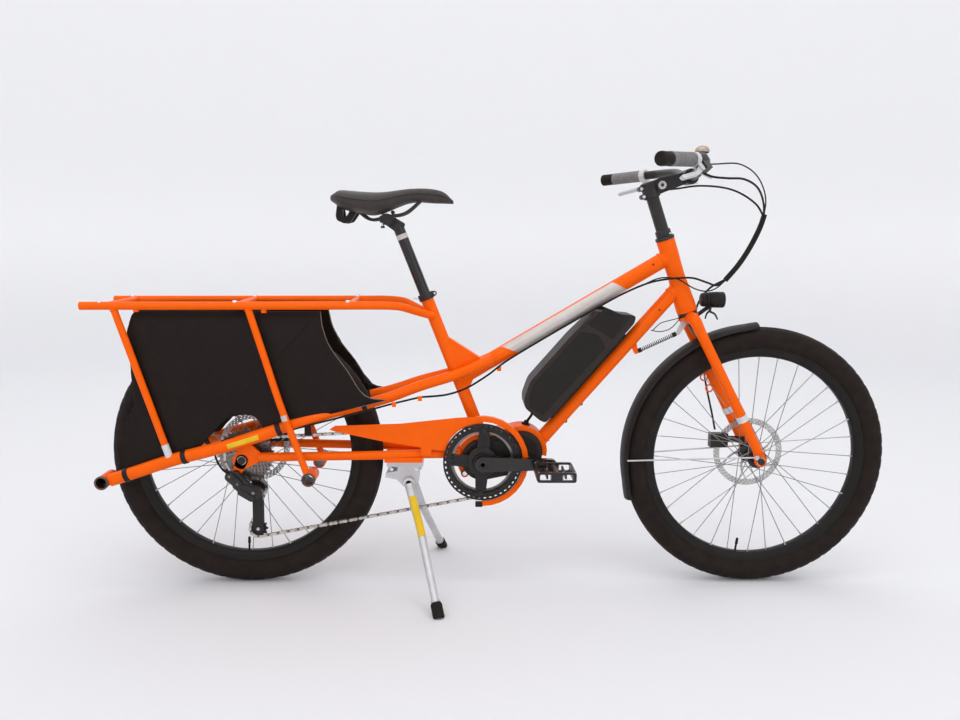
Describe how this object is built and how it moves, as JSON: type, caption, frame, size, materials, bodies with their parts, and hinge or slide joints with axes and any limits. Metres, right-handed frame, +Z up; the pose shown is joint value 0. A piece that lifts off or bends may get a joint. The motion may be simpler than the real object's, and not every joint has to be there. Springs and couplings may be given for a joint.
{
  "type": "longtail cargo bike",
  "caption": "Electric longtail cargo bike with a step-through frame, long rear rack with side panels, mid motor, derailleur drive, disc brakes and a double-leg kickstand.",
  "frame": {"origin": "on the ground, under the middle of the bike's bounding box", "axes": "+X forward, +Y to the rider's left, +Z up"},
  "size_m": [1.9781, 0.6778, 1.098],
  "materials": {
    "orange_paint": "gloss",
    "black_paint": "satin",
    "black_plastic": "fine grain",
    "brown_black": "fine grain",
    "black_rubber": "matte",
    "tyre": "matte tread",
    "silver": "satin",
    "steel": "brushed"
  },
  "bodies": {
    "frame": {"head_tube": "orange_paint", "down_tube": "orange_paint", "top_tube": "orange_paint", "seat_tube": "orange_paint", "side_tube_left": "orange_paint", "side_tube_right": "orange_paint", "chainstays": "orange_paint", "rack_rail_left": "orange_paint", "rack_rail_right": "orange_paint", "rack_tail": "orange_paint", "rack_cross_middle": "orange_paint", "rack_cross_front": "orange_paint", "skirt_left": "black_plastic", "skirt_right": "black_plastic", "motor": "brown_black", "battery": "brown_black", "chain": "steel", "chain_guard": "orange_paint", "kickstand_bracket": "silver", "seat_collar": "black_paint", "rear_brake_caliper": "black_paint", "derailleur_body": "black_paint", "damper_spring": "steel", "control_cables": "black_plastic"},
    "steering": {"fork": "orange_paint", "stem": "black_paint", "handlebar": "black_paint", "grip_left": "black_rubber", "grip_right": "black_rubber", "lever_perch_left": "silver", "lever_perch_right": "silver", "shifter": "silver", "bell": "silver", "headlight": "black_plastic", "front_fender": "black_plastic", "front_brake_caliper": "black_paint"},
    "front_wheel": {"front_tyre": "tyre", "front_rim": "black_paint", "front_hub": "black_paint", "front_rotor": "steel"},
    "rear_wheel": {"rear_tyre": "tyre", "rear_rim": "black_paint", "rear_hub": "black_paint", "rear_rotor": "steel"},
    "cassette": {"cassette": "steel"},
    "crank": {"chainring": "black_paint", "crank_left": "black_paint", "crank_right": "black_paint"},
    "pedal_left": {"pedal_left": "black_plastic"},
    "pedal_right": {"pedal_right": "black_plastic"},
    "kickstand": {"kickstand": "silver"},
    "seatpost": {"seatpost": "silver", "saddle": "black_plastic"},
    "brake_lever_left": {"brake_lever_left": "silver"},
    "brake_lever_right": {"brake_lever_right": "silver"},
    "shift_lever": {"shift_lever": "silver"},
    "bell_lever": {"bell_lever": "silver"},
    "derailleur_cage": {"derailleur_cage": "black_paint"},
    "pulley_upper": {"pulley_upper": "black_plastic"},
    "pulley_lower": {"pulley_lower": "black_plastic"}
  },
  "joints": [
    {"name": "steer", "type": "hinge", "parent": "frame", "child": "steering", "pos_m": [0.465, 0, 0.706], "axis": [-0.3338, 0, 0.9426], "range_deg": [-45, 45], "stiffness_Nm_per_rad": 1.5, "deforming": ["damper_spring", "control_cables"]},
    {"name": "front_wheel_spin", "type": "hinge", "parent": "steering", "child": "front_wheel", "pos_m": [0.655, 0, 0.334], "axis": [0, 1, 0], "continuous": true},
    {"name": "rear_wheel_spin", "type": "hinge", "parent": "frame", "child": "rear_wheel", "pos_m": [-0.633, 0, 0.3385], "axis": [0, 1, 0], "continuous": true},
    {"name": "crank_spin", "type": "hinge", "parent": "frame", "child": "crank", "pos_m": [-0.044, 0, 0.331], "axis": [0, 1, 0], "continuous": true},
    {"name": "cassette_spin", "type": "hinge", "parent": "frame", "child": "cassette", "pos_m": [-0.633, -0.047, 0.3385], "axis": [0, 1, 0], "continuous": true},
    {"name": "pedal_left_spin", "type": "hinge", "parent": "crank", "child": "pedal_left", "pos_m": [-0.214, 0.143, 0.331], "axis": [0, 1, 0], "continuous": true},
    {"name": "pedal_right_spin", "type": "hinge", "parent": "crank", "child": "pedal_right", "pos_m": [0.126, -0.143, 0.331], "axis": [0, 1, 0], "continuous": true},
    {"name": "kickstand_fold", "type": "hinge", "parent": "frame", "child": "kickstand", "pos_m": [-0.228, 0, 0.272], "axis": [0, 1, 0], "range_deg": [0, 95]},
    {"name": "seatpost_slide", "type": "slide", "parent": "frame", "child": "seatpost", "axis": [-0.3706, 0, 0.9288], "range_m": [-0.095, 0.08]},
    {"name": "brake_lever_left_pull", "type": "hinge", "parent": "steering", "child": "brake_lever_left", "pos_m": [0.40806, 0.24653, 1.03262], "axis": [0.5244, 0.591, 0.6129], "range_deg": [0, 16], "stiffness_Nm_per_rad": 0.6, "springref_deg": -22.92},
    {"name": "brake_lever_right_pull", "type": "hinge", "parent": "steering", "child": "brake_lever_right", "pos_m": [0.40806, -0.24653, 1.03262], "axis": [-0.5244, 0.591, -0.6129], "range_deg": [0, 16], "stiffness_Nm_per_rad": 0.6, "springref_deg": -22.92},
    {"name": "shift_lever_push", "type": "hinge", "parent": "steering", "child": "shift_lever", "pos_m": [0.42181, -0.2281, 1.03863], "axis": [-0.5244, 0.591, -0.6129], "range_deg": [0, 25], "stiffness_Nm_per_rad": 0.3, "springref_deg": -22.92},
    {"name": "bell_lever_push", "type": "hinge", "parent": "steering", "child": "bell_lever", "pos_m": [0.455, -0.096, 1.08], "axis": [0, 0, 1], "range_deg": [0, 30], "stiffness_Nm_per_rad": 0.05, "springref_deg": -22.92},
    {"name": "derailleur_cage_swing", "type": "hinge", "parent": "frame", "child": "derailleur_cage", "pos_m": [-0.603, -0.047, 0.262], "axis": [0, 1, 0], "range_deg": [-20, 40], "stiffness_Nm_per_rad": 1, "deforming": ["chain"]},
    {"name": "pulley_upper_spin", "type": "hinge", "parent": "derailleur_cage", "child": "pulley_upper", "pos_m": [-0.603, -0.047, 0.262], "axis": [0, 1, 0], "continuous": true},
    {"name": "pulley_lower_spin", "type": "hinge", "parent": "derailleur_cage", "child": "pulley_lower", "pos_m": [-0.604, -0.047, 0.156], "axis": [0, 1, 0], "continuous": true}
  ],
  "couplings": [
    {"joint": "cassette_spin", "follows": "crank_spin", "ratio": 1.8333},
    {"joint": "pulley_lower_spin", "follows": "crank_spin", "ratio": 4},
    {"joint": "pulley_upper_spin", "follows": "crank_spin", "ratio": -4}
  ]
}
